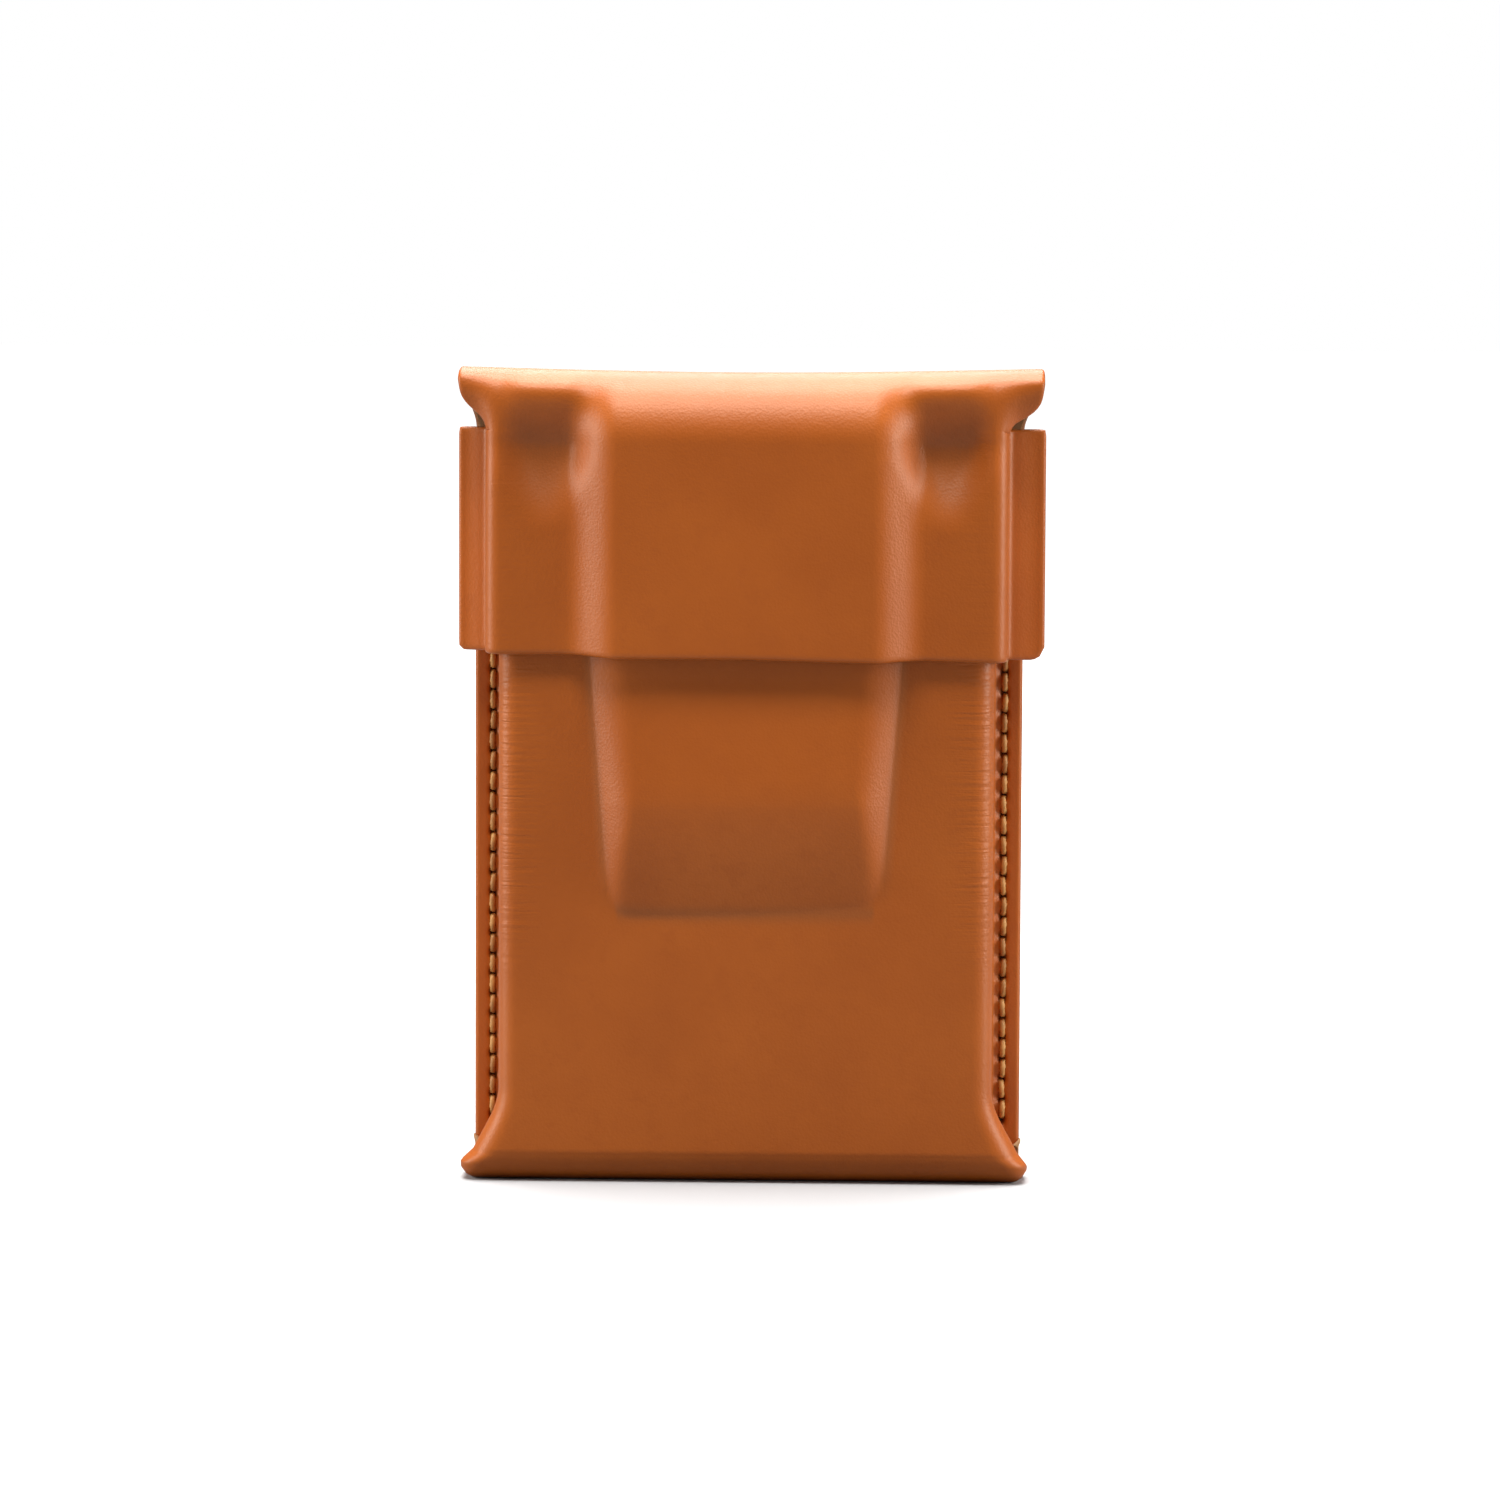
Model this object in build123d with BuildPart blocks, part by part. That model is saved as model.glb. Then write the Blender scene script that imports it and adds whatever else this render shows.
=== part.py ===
from build123d import *
import os

# Upright card holder folded from one strip of thick vegetable-tanned leather.
# The strip runs down the front as a wet-moulded pocket, folds under the bottom, climbs the flat
# back, rolls over the top and comes down as a moulded flap. Two stitched seams close the sides.
# +Z is up, the front faces -Y, and the origin is on the resting plane under the middle.
# Depths are counted forward from the outer face of the back panel.

# Leather and thread
LEATHER = 1.3
THREAD_RADIUS = 0.3
LEG_RADIUS = 0.25
AWL_HOLE_RADIUS = 0.35
GROOVE_WIDTH = 0.74

# Pocket for a stack of 54 x 85.6 mm cards
POCKET_WIDTH = 55.0
POCKET_DEPTH = 9.5
PANEL_TOP = 80.0
BOX_CORNER = 2.4

# Flanges beside the pocket and the flare into the bottom fold
FLANGE_HALF = 32.25
FLANGE_LOW = 5.0
FLANGE_CORNER = 2.0
FOLD_HALF = 32.85
FLARE_TOP = 11.0
FOLD_FRONT_RADIUS = 4.2
FOLD_BACK_RADIUS = 2.2
CORNER_OPENING_RADIUS = 1.4
CORNER_OPENING_CENTRE = 3.4

# Thumb relief moulded into the front panel and followed by the flap
RELIEF_HEIGHT = 3.0
RELIEF_RUN = 4.1
RELIEF_HALF = 18.3
RELIEF_HALF_LOW = 15.95
RELIEF_LOW = 31.5
PLATEAU_LOW = 46.0
TAPER_TOP = 61.0

# Side seams
SEAM_INSET = 2.2
STITCH_PITCH = 2.4
STITCH_COUNT = 31
SEAM_LOW = 6.6

# Flap
HEIGHT = 95.0
MOULD_GAP = 0.15
WING_GAP = 0.55
FLAP_LOW = 61.0
FLAP_MID_LOW = 60.5
WING_LOW = 61.5
WING_TOP = 88.0
WING_HALF = 34.7
WING_CORNER = 2.5
ROLL_HALF = 34.35
ROLL_FLARE_TOP = 91.8
HOLLOW_LOW = 80.5
HOLLOW_RISE = 0.5
ROLL_WRAP = 205.0
FLAP_CORNER = 1.8

# Depth of each face, from the back forward
BACK_FRONT = LEATHER
FLANGE_FRONT = 2 * LEATHER
WING_BACK = FLANGE_FRONT + WING_GAP
FACE_IN = BACK_FRONT + POCKET_DEPTH
FACE_OUT = FACE_IN + LEATHER
FLAP_SIDE_IN = FACE_OUT + MOULD_GAP
FLAP_SIDE_OUT = FLAP_SIDE_IN + LEATHER
DEPTH = FLAP_SIDE_OUT + RELIEF_HEIGHT

# Widths and heights that follow
BOX_HALF_IN = POCKET_WIDTH / 2
BOX_HALF_OUT = BOX_HALF_IN + LEATHER
FLAP_HALF_IN = BOX_HALF_OUT + MOULD_GAP
FLAP_HALF_OUT = FLAP_HALF_IN + LEATHER
SEAM_X = FLANGE_HALF - SEAM_INSET
SEAM_HEIGHTS = [SEAM_LOW + STITCH_PITCH * i for i in range(STITCH_COUNT)]
SEAM_LENGTH = SEAM_HEIGHTS[-1] - SEAM_LOW
ROLL_RADIUS = DEPTH / 2
HINGE_Z = HEIGHT - ROLL_RADIUS
FOLD_SPLIT = FACE_OUT / 2
OVERCUT = 5.0
SIDES = {"left": -1, "right": 1}


def y_at(depth):
    """Y of the plane that lies this far in front of the back panel's outer face."""
    return DEPTH / 2 - depth


def front_plane(depth):
    """Upright sketch plane at a depth, with local X across, local Y up and its normal forward."""
    return Plane.XZ.offset(-y_at(depth))


def pocket_section(z, half_width, face_depth, corner):
    """Outline of the pocket box at one height, from the back panel to the rounded front corners."""
    with BuildSketch(Plane.XY.offset(z)) as section:
        with BuildLine():
            Polyline(
                (-half_width, y_at(BACK_FRONT)),
                (-half_width, y_at(face_depth)),
                (half_width, y_at(face_depth)),
                (half_width, y_at(BACK_FRONT)),
                close=True,
            )
        make_face()
        fillet(section.vertices().sort_by(Axis.Y)[:2], corner)
    return section.sketch


def relief_outline(depth, inset, low, top):
    """Outline of the thumb relief at one depth: straight above the flap edge, tapered below it."""
    taper = (RELIEF_HALF - RELIEF_HALF_LOW) / (TAPER_TOP - RELIEF_LOW)
    half = RELIEF_HALF - inset
    half_low = half - taper * (TAPER_TOP - low)
    with BuildSketch(front_plane(depth)) as outline:
        with BuildLine():
            Polyline(
                (-half_low, low),
                (half_low, low),
                (half, TAPER_TOP),
                (half, top),
                (-half, top),
                (-half, TAPER_TOP),
                close=True,
            )
        make_face()
    return outline.sketch


def fold_outline(z_low, face_depth, radius, top):
    """Side view of the pocket down to the bottom fold, with room for the relief above it."""
    with BuildSketch(Plane.YZ) as outline:
        with BuildLine():
            Polyline(
                (y_at(BACK_FRONT), z_low),
                (y_at(face_depth), z_low),
                (y_at(face_depth), RELIEF_LOW / 2),
                (y_at(DEPTH), RELIEF_LOW / 2),
                (y_at(DEPTH), top),
                (y_at(BACK_FRONT), top),
                close=True,
            )
        make_face()
        fillet(outline.vertices().sort_by_distance((y_at(face_depth), z_low, 0))[:1], radius)
    return outline.sketch


def seam_holes(depth, radius):
    """One round outline for every awl hole of both seams."""
    places = [(side * SEAM_X, z) for side in SIDES.values() for z in SEAM_HEIGHTS]
    with BuildSketch(front_plane(depth)) as holes:
        with Locations(*places):
            Circle(radius)
    return holes.sketch


def seam_grooves(depth):
    """The two straight grooves that the stitches lie in."""
    middle = SEAM_LOW + SEAM_LENGTH / 2
    with BuildSketch(front_plane(depth)) as grooves:
        with Locations((-SEAM_X, middle), (SEAM_X, middle)):
            Rectangle(GROOVE_WIDTH, SEAM_LENGTH + 2 * GROOVE_WIDTH)
    return grooves.sketch


# The space inside the pocket, with the relief's hollow and the flare above the fold
CORE_FLARE_HALF = FOLD_HALF - LEATHER * 1.4
CORE_RELIEF_INSET = 0.42
with BuildPart() as pocket_core:
    low_section = pocket_section(LEATHER, CORE_FLARE_HALF, FACE_IN, BOX_CORNER - LEATHER)
    flare_section = pocket_section(FLARE_TOP, BOX_HALF_IN, FACE_IN, BOX_CORNER - LEATHER)
    loft([low_section, flare_section], ruled=True)
    extrude(flare_section, amount=PANEL_TOP + OVERCUT - FLARE_TOP)
    base = relief_outline(FACE_IN, CORE_RELIEF_INSET, RELIEF_LOW, PANEL_TOP + OVERCUT)
    plateau = relief_outline(
        FACE_IN + RELIEF_HEIGHT,
        CORE_RELIEF_INSET + RELIEF_RUN,
        PLATEAU_LOW,
        PANEL_TOP + OVERCUT,
    )
    loft([base, plateau], ruled=True)
    extrude(
        fold_outline(LEATHER, FACE_IN, FOLD_FRONT_RADIUS - LEATHER, PANEL_TOP + OVERCUT),
        amount=ROLL_HALF,
        both=True,
        mode=Mode.INTERSECT,
    )

# Front panel: the moulded pocket, its stitched flanges and the front half of the bottom fold
with BuildPart() as front_panel:
    low_section = pocket_section(0, FOLD_HALF, FACE_OUT, BOX_CORNER)
    flare_section = pocket_section(FLARE_TOP, BOX_HALF_OUT, FACE_OUT, BOX_CORNER)
    loft([low_section, flare_section], ruled=True)
    extrude(flare_section, amount=PANEL_TOP - FLARE_TOP)
    base = relief_outline(FACE_OUT, 0, RELIEF_LOW, PANEL_TOP)
    plateau = relief_outline(FACE_OUT + RELIEF_HEIGHT, RELIEF_RUN, PLATEAU_LOW, PANEL_TOP)
    loft([base, plateau], ruled=True)
    extrude(
        fold_outline(0, FACE_OUT, FOLD_FRONT_RADIUS, PANEL_TOP),
        amount=ROLL_HALF,
        both=True,
        mode=Mode.INTERSECT,
    )
    add(pocket_core.part, mode=Mode.SUBTRACT)
    with BuildSketch(front_plane(BACK_FRONT)) as flanges:
        for side in SIDES.values():
            with BuildLine():
                Polyline(
                    (side * (BOX_HALF_IN + 0.1), FLANGE_LOW),
                    (side * FLANGE_HALF, FLANGE_LOW),
                    (side * FLANGE_HALF, PANEL_TOP),
                    (side * (BOX_HALF_IN + 0.1), PANEL_TOP),
                    close=True,
                )
            make_face()
        low_corners = flanges.vertices().group_by(Axis.Y)[0].group_by(Axis.X)
        fillet(low_corners[0] + low_corners[-1], FLANGE_CORNER)
    extrude(amount=LEATHER)
    # The rear half of the fold's floor belongs to the back panel
    with BuildSketch(Plane.XY) as rear_floor:
        with Locations((0, y_at((BACK_FRONT + FOLD_SPLIT) / 2))):
            Rectangle(2 * FOLD_HALF + OVERCUT, FOLD_SPLIT - BACK_FRONT)
    extrude(amount=LEATHER, mode=Mode.SUBTRACT)
    # Small openings where the strip's edges leave the seams to run into the fold
    with BuildSketch(Plane.YZ) as corner_openings:
        with Locations((y_at(CORNER_OPENING_CENTRE), CORNER_OPENING_CENTRE)):
            Circle(CORNER_OPENING_RADIUS)
    extrude(amount=ROLL_HALF, both=True, mode=Mode.SUBTRACT)
    extrude(seam_holes(BACK_FRONT, AWL_HOLE_RADIUS), amount=LEATHER, mode=Mode.SUBTRACT)
    # The grooves also clear the threads where the flare leans out over the seams
    extrude(
        seam_grooves(FLANGE_FRONT - GROOVE_WIDTH / 2),
        amount=GROOVE_WIDTH,
        mode=Mode.SUBTRACT,
    )

# Back panel: the flat back up to the hinge line and the rear half of the bottom fold
with BuildPart() as back_panel:
    with BuildSketch(Plane.YZ) as back_profile:
        with BuildLine():
            Polyline(
                (y_at(0), HINGE_Z),
                (y_at(0), 0),
                (y_at(FOLD_SPLIT), 0),
                (y_at(FOLD_SPLIT), LEATHER),
                (y_at(LEATHER), LEATHER),
                (y_at(LEATHER), HINGE_Z),
                close=True,
            )
        make_face()
        outer_corner = back_profile.vertices().sort_by_distance((y_at(0), 0, 0))[:1]
        fillet(outer_corner, FOLD_BACK_RADIUS)
    extrude(amount=FLANGE_HALF, both=True)
    extrude(seam_holes(0, AWL_HOLE_RADIUS), amount=LEATHER, mode=Mode.SUBTRACT)
    extrude(seam_grooves(0), amount=GROOVE_WIDTH - 0.06, mode=Mode.SUBTRACT)

# Flap: the roll over the top, the moulded front, its side walls and the wings over the flanges
HOLLOW_LOW_IN = HOLLOW_LOW + HOLLOW_RISE
WALL_FRONT = FLAP_SIDE_OUT - LEATHER / 2
with BuildPart() as flap:
    with BuildSketch(Plane.YZ) as skin:
        with BuildLine():
            outer_arc = CenterArc((0, HINGE_Z), ROLL_RADIUS, 0, ROLL_WRAP)
            inner_arc = CenterArc((0, HINGE_Z), ROLL_RADIUS - LEATHER, 0, ROLL_WRAP)
            Polyline(
                outer_arc @ 1,
                (y_at(FLAP_SIDE_OUT), HOLLOW_LOW),
                (y_at(FLAP_SIDE_OUT), FLAP_LOW),
                (y_at(FLAP_SIDE_IN), FLAP_LOW),
                (y_at(FLAP_SIDE_IN), HOLLOW_LOW_IN),
                inner_arc @ 1,
            )
            Line(inner_arc @ 0, outer_arc @ 0)
        make_face()
    extrude(amount=FLAP_HALF_OUT, both=True)
    # Raised middle, which runs straight down from the roll
    with BuildSketch(Plane.XY.offset(FLAP_MID_LOW)) as middle:
        with BuildLine():
            Polyline(
                (-RELIEF_HALF - 0.6, y_at(FLAP_SIDE_OUT)),
                (RELIEF_HALF + 0.6, y_at(FLAP_SIDE_OUT)),
                (RELIEF_HALF + 0.6 - RELIEF_RUN, y_at(DEPTH)),
                (-RELIEF_HALF - 0.6 + RELIEF_RUN, y_at(DEPTH)),
                close=True,
            )
        make_face()
    extrude(amount=HINGE_Z - FLAP_MID_LOW)
    with BuildSketch(Plane.XY.offset(FLAP_MID_LOW)) as middle_core:
        with BuildLine():
            Polyline(
                (-RELIEF_HALF - 0.3, y_at(FLAP_SIDE_IN - LEATHER)),
                (RELIEF_HALF + 0.3, y_at(FLAP_SIDE_IN - LEATHER)),
                (RELIEF_HALF + 0.3, y_at(FLAP_SIDE_IN)),
                (RELIEF_HALF + 0.3 - RELIEF_RUN, y_at(DEPTH - LEATHER)),
                (-RELIEF_HALF - 0.3 + RELIEF_RUN, y_at(DEPTH - LEATHER)),
                (-RELIEF_HALF - 0.3, y_at(FLAP_SIDE_IN)),
                close=True,
            )
        make_face()
    extrude(amount=HINGE_Z - FLAP_MID_LOW, mode=Mode.SUBTRACT)
    # Roll at its full width, then the flare where the edges curl in towards the side walls
    with BuildSketch(Plane.YZ) as roll:
        with BuildLine():
            roll_outer = CenterArc((0, HINGE_Z), ROLL_RADIUS, 0, 180)
            roll_inner = CenterArc((0, HINGE_Z), ROLL_RADIUS - LEATHER, 0, 180)
            Line(roll_outer @ 0, roll_inner @ 0)
            Line(roll_outer @ 1, roll_inner @ 1)
        make_face()
    extrude(amount=ROLL_HALF, both=True)
    for side in SIDES.values():
        with BuildSketch(Plane.XZ) as front_flare:
            with BuildLine():
                Polyline(
                    (side * FLAP_HALF_OUT, HINGE_Z - OVERCUT),
                    (side * FLAP_HALF_OUT, WING_TOP),
                    (side * ROLL_HALF, ROLL_FLARE_TOP),
                    (side * (ROLL_HALF + OVERCUT), ROLL_FLARE_TOP),
                    (side * (ROLL_HALF + OVERCUT), HINGE_Z - OVERCUT),
                    close=True,
                )
            make_face()
        extrude(amount=DEPTH, mode=Mode.SUBTRACT)
        with BuildSketch(Plane.XZ) as back_taper:
            with BuildLine():
                Polyline(
                    (side * FLANGE_HALF, HINGE_Z),
                    (side * ROLL_HALF, ROLL_FLARE_TOP),
                    (side * (ROLL_HALF + OVERCUT), HINGE_Z),
                    close=True,
                )
            make_face()
        extrude(amount=-DEPTH, mode=Mode.SUBTRACT)
    # Side walls and wings
    for side in SIDES.values():
        with BuildSketch(Plane.YZ.offset(side * FLAP_HALF_IN)) as wall:
            with BuildLine():
                Polyline(
                    (y_at(WING_BACK), FLAP_LOW),
                    (y_at(WALL_FRONT), FLAP_LOW),
                    (y_at(WALL_FRONT), HOLLOW_LOW),
                    (outer_arc @ 1) + Vector(LEATHER / 2, LEATHER / 2),
                    (y_at(DEPTH - LEATHER / 2), WING_TOP),
                    (y_at(WING_BACK), WING_TOP),
                    close=True,
                )
            make_face()
        extrude(amount=side * LEATHER)
        with BuildSketch(front_plane(WING_BACK)) as wing:
            with BuildLine():
                Polyline(
                    (side * FLAP_HALF_IN, WING_LOW),
                    (side * WING_HALF, WING_LOW),
                    (side * WING_HALF, WING_TOP),
                    (side * FLAP_HALF_IN, WING_TOP),
                    close=True,
                )
            make_face()
            low_corner = wing.vertices().sort_by_distance((side * WING_HALF, WING_LOW, 0))[:1]
            fillet(low_corner, WING_CORNER)
        extrude(amount=LEATHER)
    moulded_edges = flap.edges().filter_by(Axis.Z).filter_by(
        lambda edge: abs(abs(edge.center().X) - FLAP_HALF_OUT) < 0.01
        and abs(edge.center().Y - y_at(FLAP_SIDE_OUT)) < 0.01
    )
    fillet(moulded_edges, FLAP_CORNER)

os.makedirs("parts", exist_ok=True)
front_panel.part.label = "front_panel"
back_panel.part.label = "back_panel"
flap.part.label = "flap"
export_step(front_panel.part, "parts/front_panel.step")
export_step(back_panel.part, "parts/back_panel.step")
export_step(flap.part, "parts/flap.step")

# Saddle-stitched seams: a run of thread on each face and a leg through every pair of awl holes
BACK_RUN_DEPTH = THREAD_RADIUS + 0.02
for name, side in SIDES.items():
    with BuildPart() as seam_thread:
        with BuildSketch(Plane.XY.offset(SEAM_LOW - THREAD_RADIUS)) as runs:
            run_places = [(side * SEAM_X, y_at(depth)) for depth in (FLANGE_FRONT, BACK_RUN_DEPTH)]
            with Locations(*run_places):
                Circle(THREAD_RADIUS)
        extrude(amount=SEAM_LENGTH + 2 * THREAD_RADIUS)
        with BuildSketch(front_plane(BACK_RUN_DEPTH)) as legs:
            with Locations(*[(side * SEAM_X, z) for z in SEAM_HEIGHTS]):
                Circle(LEG_RADIUS)
        extrude(amount=FLANGE_FRONT - BACK_RUN_DEPTH)
    seam_thread.part.label = f"{name}_seam_thread"
    export_step(seam_thread.part, f"parts/{name}_seam_thread.step")
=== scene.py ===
import math

import bmesh
import bpy
import numpy as np
from mathutils import Matrix, Vector


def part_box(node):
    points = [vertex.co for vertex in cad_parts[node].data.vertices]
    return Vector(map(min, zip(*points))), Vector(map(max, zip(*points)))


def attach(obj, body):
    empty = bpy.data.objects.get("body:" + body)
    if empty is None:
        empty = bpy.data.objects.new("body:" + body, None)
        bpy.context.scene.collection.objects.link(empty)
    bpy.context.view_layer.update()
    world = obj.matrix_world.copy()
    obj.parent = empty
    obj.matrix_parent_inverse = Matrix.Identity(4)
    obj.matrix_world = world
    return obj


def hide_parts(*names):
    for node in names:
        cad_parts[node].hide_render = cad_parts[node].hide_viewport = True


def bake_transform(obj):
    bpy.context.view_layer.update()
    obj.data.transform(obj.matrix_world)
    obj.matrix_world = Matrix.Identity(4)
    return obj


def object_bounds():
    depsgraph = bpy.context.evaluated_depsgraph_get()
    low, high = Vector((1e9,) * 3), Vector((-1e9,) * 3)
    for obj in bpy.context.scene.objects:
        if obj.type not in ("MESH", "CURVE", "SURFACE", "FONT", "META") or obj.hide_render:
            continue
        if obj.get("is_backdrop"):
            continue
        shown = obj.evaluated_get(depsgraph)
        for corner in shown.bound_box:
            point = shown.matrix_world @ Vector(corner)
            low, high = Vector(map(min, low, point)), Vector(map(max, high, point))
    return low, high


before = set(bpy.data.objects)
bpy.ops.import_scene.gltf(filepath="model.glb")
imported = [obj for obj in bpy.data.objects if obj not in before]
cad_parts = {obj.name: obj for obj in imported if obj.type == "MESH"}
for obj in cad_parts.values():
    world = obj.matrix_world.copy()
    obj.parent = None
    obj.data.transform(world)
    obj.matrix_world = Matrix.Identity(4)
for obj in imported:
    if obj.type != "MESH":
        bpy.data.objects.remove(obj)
cad_low, cad_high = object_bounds()


# --- Camera -------------------------------------------------------------------------------------
# A long lens at about arm's length, a little above the middle of the holder and a little to its
# right, turned slightly on its axis.
CAMERA_DISTANCE = 0.700
CAMERA_AZIMUTH = math.radians(2.0)
CAMERA_ELEVATION = math.radians(4.7)
CAMERA_ROLL = math.radians(0.25)
VIEW_WIDTH = 0.1727
AIM = Vector((0.0007, cad_low.y, 0.0512))

camera_data = bpy.data.cameras.new("camera")
camera_data.sensor_width = 36.0
camera_data.lens = camera_data.sensor_width * CAMERA_DISTANCE / VIEW_WIDTH
camera = bpy.data.objects.new("camera", camera_data)
bpy.context.collection.objects.link(camera)
away = Vector((
    math.sin(CAMERA_AZIMUTH) * math.cos(CAMERA_ELEVATION),
    -math.cos(CAMERA_AZIMUTH) * math.cos(CAMERA_ELEVATION),
    math.sin(CAMERA_ELEVATION),
))
camera.location = AIM + away * CAMERA_DISTANCE
turned = (-away).to_track_quat("-Z", "Y").to_matrix() @ Matrix.Rotation(CAMERA_ROLL, 3, "Z")
camera.rotation_euler = turned.to_euler()
bpy.context.scene.camera = camera


# --- Leather ------------------------------------------------------------------------------------
# One hide of thick vegetable-tanned leather, tan and waxed on the grain side, raw and pale on the
# flesh side, with its cut edges burnished dark. The same dark brown is painted shade in the creases
# round the thumb relief and in the hollows under the roll's ends, and the awl holes get painted shade.
GRAIN_TAN = (0.50, 0.113, 0.009, 1.0)
GRAIN_DEEP = (0.43, 0.091, 0.006, 1.0)
FLESH_PALE = (0.50, 0.27, 0.13, 1.0)
FLESH_DEEP = (0.42, 0.205, 0.088, 1.0)
EDGE_AND_SHADE_BROWN = (0.27, 0.085, 0.022, 1.0)
WAX_TINT = (1.0, 0.92, 0.76, 1.0)
HOLE_SHADE_BROWN = (0.012, 0.005, 0.003, 1.0)


def add_node(tree, kind, values=None, **settings):
    """Adds a node, sets its settings and the values of its unlinked inputs."""
    node = tree.nodes.new(kind)
    for name, value in settings.items():
        setattr(node, name, value)
    for socket, value in (values or {}).items():
        node.inputs[socket].default_value = value
    return node


def mix_colours(tree, factor, first, second):
    """A colour mix whose factor and colours are sockets or plain colours."""
    mix = add_node(tree, "ShaderNodeMix", data_type="RGBA")
    for slot, value in ((0, factor), (6, first), (7, second)):
        if isinstance(value, bpy.types.NodeSocket):
            tree.links.new(value, mix.inputs[slot])
        else:
            mix.inputs[slot].default_value = value
    return mix.outputs[2]


def band(tree, value, low, high):
    """A socket that rises smoothly from 0 to 1 while value goes from low to high."""
    ramp = add_node(tree, "ShaderNodeMapRange", interpolation_type="SMOOTHSTEP")
    ramp.inputs["From Min"].default_value = low
    ramp.inputs["From Max"].default_value = high
    tree.links.new(value, ramp.inputs["Value"])
    return ramp.outputs["Result"]


def multiply(tree, first, second):
    node = add_node(tree, "ShaderNodeMath", operation="MULTIPLY")
    for slot, value in enumerate((first, second)):
        if isinstance(value, bpy.types.NodeSocket):
            tree.links.new(value, node.inputs[slot])
        else:
            node.inputs[slot].default_value = value
    return node.outputs[0]


def make_leather():
    material = bpy.data.materials.new("tan_leather")
    material.use_nodes = True
    tree = material.node_tree
    shader = tree.nodes["Principled BSDF"]
    place = add_node(tree, "ShaderNodeTexCoord").outputs["Object"]
    strip = add_node(tree, "ShaderNodeUVMap", uv_map="strip").outputs["UV"]
    flesh = add_node(tree, "ShaderNodeAttribute", attribute_name="flesh").outputs["Fac"]
    hole = add_node(tree, "ShaderNodeAttribute", attribute_name="hole").outputs["Fac"]
    painted_shade = add_node(tree, "ShaderNodeAttribute", attribute_name="painted_shade").outputs["Fac"]

    # Cloudy dye, finer mottling and the odd darker fleck
    clouds = add_node(tree, "ShaderNodeTexNoise", {"Scale": 40.0, "Detail": 5.0, "Roughness": 0.55})
    mottle = add_node(tree, "ShaderNodeTexNoise", {"Scale": 420.0, "Detail": 4.0, "Roughness": 0.65})
    for noise in (clouds, mottle):
        tree.links.new(place, noise.inputs["Vector"])
    dye = mix_colours(tree, band(tree, clouds.outputs["Fac"], 0.3, 0.7), GRAIN_TAN, GRAIN_DEEP)
    fleck = multiply(tree, band(tree, mottle.outputs["Fac"], 0.5, 0.72), 0.45)
    grain = mix_colours(tree, fleck, dye, GRAIN_DEEP)
    # Painted shade: the grain is darkened towards the edge brown along the creases round the thumb
    # relief and in the hollows under the roll's ends
    grain = mix_colours(tree, multiply(tree, painted_shade, 0.45), grain, EDGE_AND_SHADE_BROWN)
    # Painted shade: the awl holes, only shallow dents in the mesh, are painted near black for the dark
    # inside of each hole
    grain = mix_colours(tree, hole, grain, HOLE_SHADE_BROWN)
    # Burnished edge between the grain side at 0 and the flesh side at 1
    colour = mix_colours(tree, band(tree, flesh, 0.1, 0.3), grain, EDGE_AND_SHADE_BROWN)
    raw = mix_colours(tree, band(tree, mottle.outputs["Fac"], 0.35, 0.7), FLESH_PALE, FLESH_DEEP)
    colour = mix_colours(tree, band(tree, flesh, 0.8, 0.98), colour, raw)
    tree.links.new(colour, shader.inputs["Base Color"])

    # Waxed grain is satin, the flesh side is matt
    gloss = add_node(tree, "ShaderNodeMapRange", {"To Min": 0.38, "To Max": 0.49})
    tree.links.new(mottle.outputs["Fac"], gloss.inputs["Value"])
    matt = add_node(tree, "ShaderNodeMix", {3: 0.85}, data_type="FLOAT")
    tree.links.new(band(tree, flesh, 0.7, 0.95), matt.inputs[0])
    tree.links.new(gloss.outputs["Result"], matt.inputs[2])
    tree.links.new(matt.outputs[0], shader.inputs["Roughness"])
    shader.inputs["Specular IOR Level"].default_value = 0.5
    shader.inputs["Specular Tint"].default_value = WAX_TINT

    # Pores and grain cells, then the fine wrinkles that run across the strip at its bends
    pores = add_node(tree, "ShaderNodeTexVoronoi", {"Scale": 3400.0, "Randomness": 1.0})
    tree.links.new(place, pores.inputs["Vector"])
    fine = add_node(tree, "ShaderNodeTexNoise", {"Scale": 1800.0, "Detail": 3.0})
    tree.links.new(place, fine.inputs["Vector"])
    grain_height = add_node(tree, "ShaderNodeMath", operation="ADD")
    tree.links.new(pores.outputs["Distance"], grain_height.inputs[0])
    tree.links.new(fine.outputs["Fac"], grain_height.inputs[1])
    stretch = add_node(tree, "ShaderNodeMapping", {"Scale": (0.12, 1.7, 1.0)})
    tree.links.new(strip, stretch.inputs["Vector"])
    wrinkle = add_node(tree, "ShaderNodeTexNoise", {"Scale": 1.0, "Detail": 3.0, "Distortion": 0.4})
    tree.links.new(stretch.outputs["Vector"], wrinkle.inputs["Vector"])
    wrinkle_mask = add_node(tree, "ShaderNodeAttribute", attribute_name="wrinkle").outputs["Fac"]
    wrinkle_height = multiply(tree, wrinkle.outputs["Fac"], wrinkle_mask)
    grain_bump = add_node(tree, "ShaderNodeBump", {"Strength": 0.15, "Distance": 0.00012})
    tree.links.new(grain_height.outputs[0], grain_bump.inputs["Height"])
    wrinkle_bump = add_node(tree, "ShaderNodeBump", {"Strength": 0.55, "Distance": 0.0003})
    tree.links.new(wrinkle_height, wrinkle_bump.inputs["Height"])
    tree.links.new(grain_bump.outputs["Normal"], wrinkle_bump.inputs["Normal"])
    tree.links.new(wrinkle_bump.outputs["Normal"], shader.inputs["Normal"])
    return material


leather = make_leather()

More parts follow.
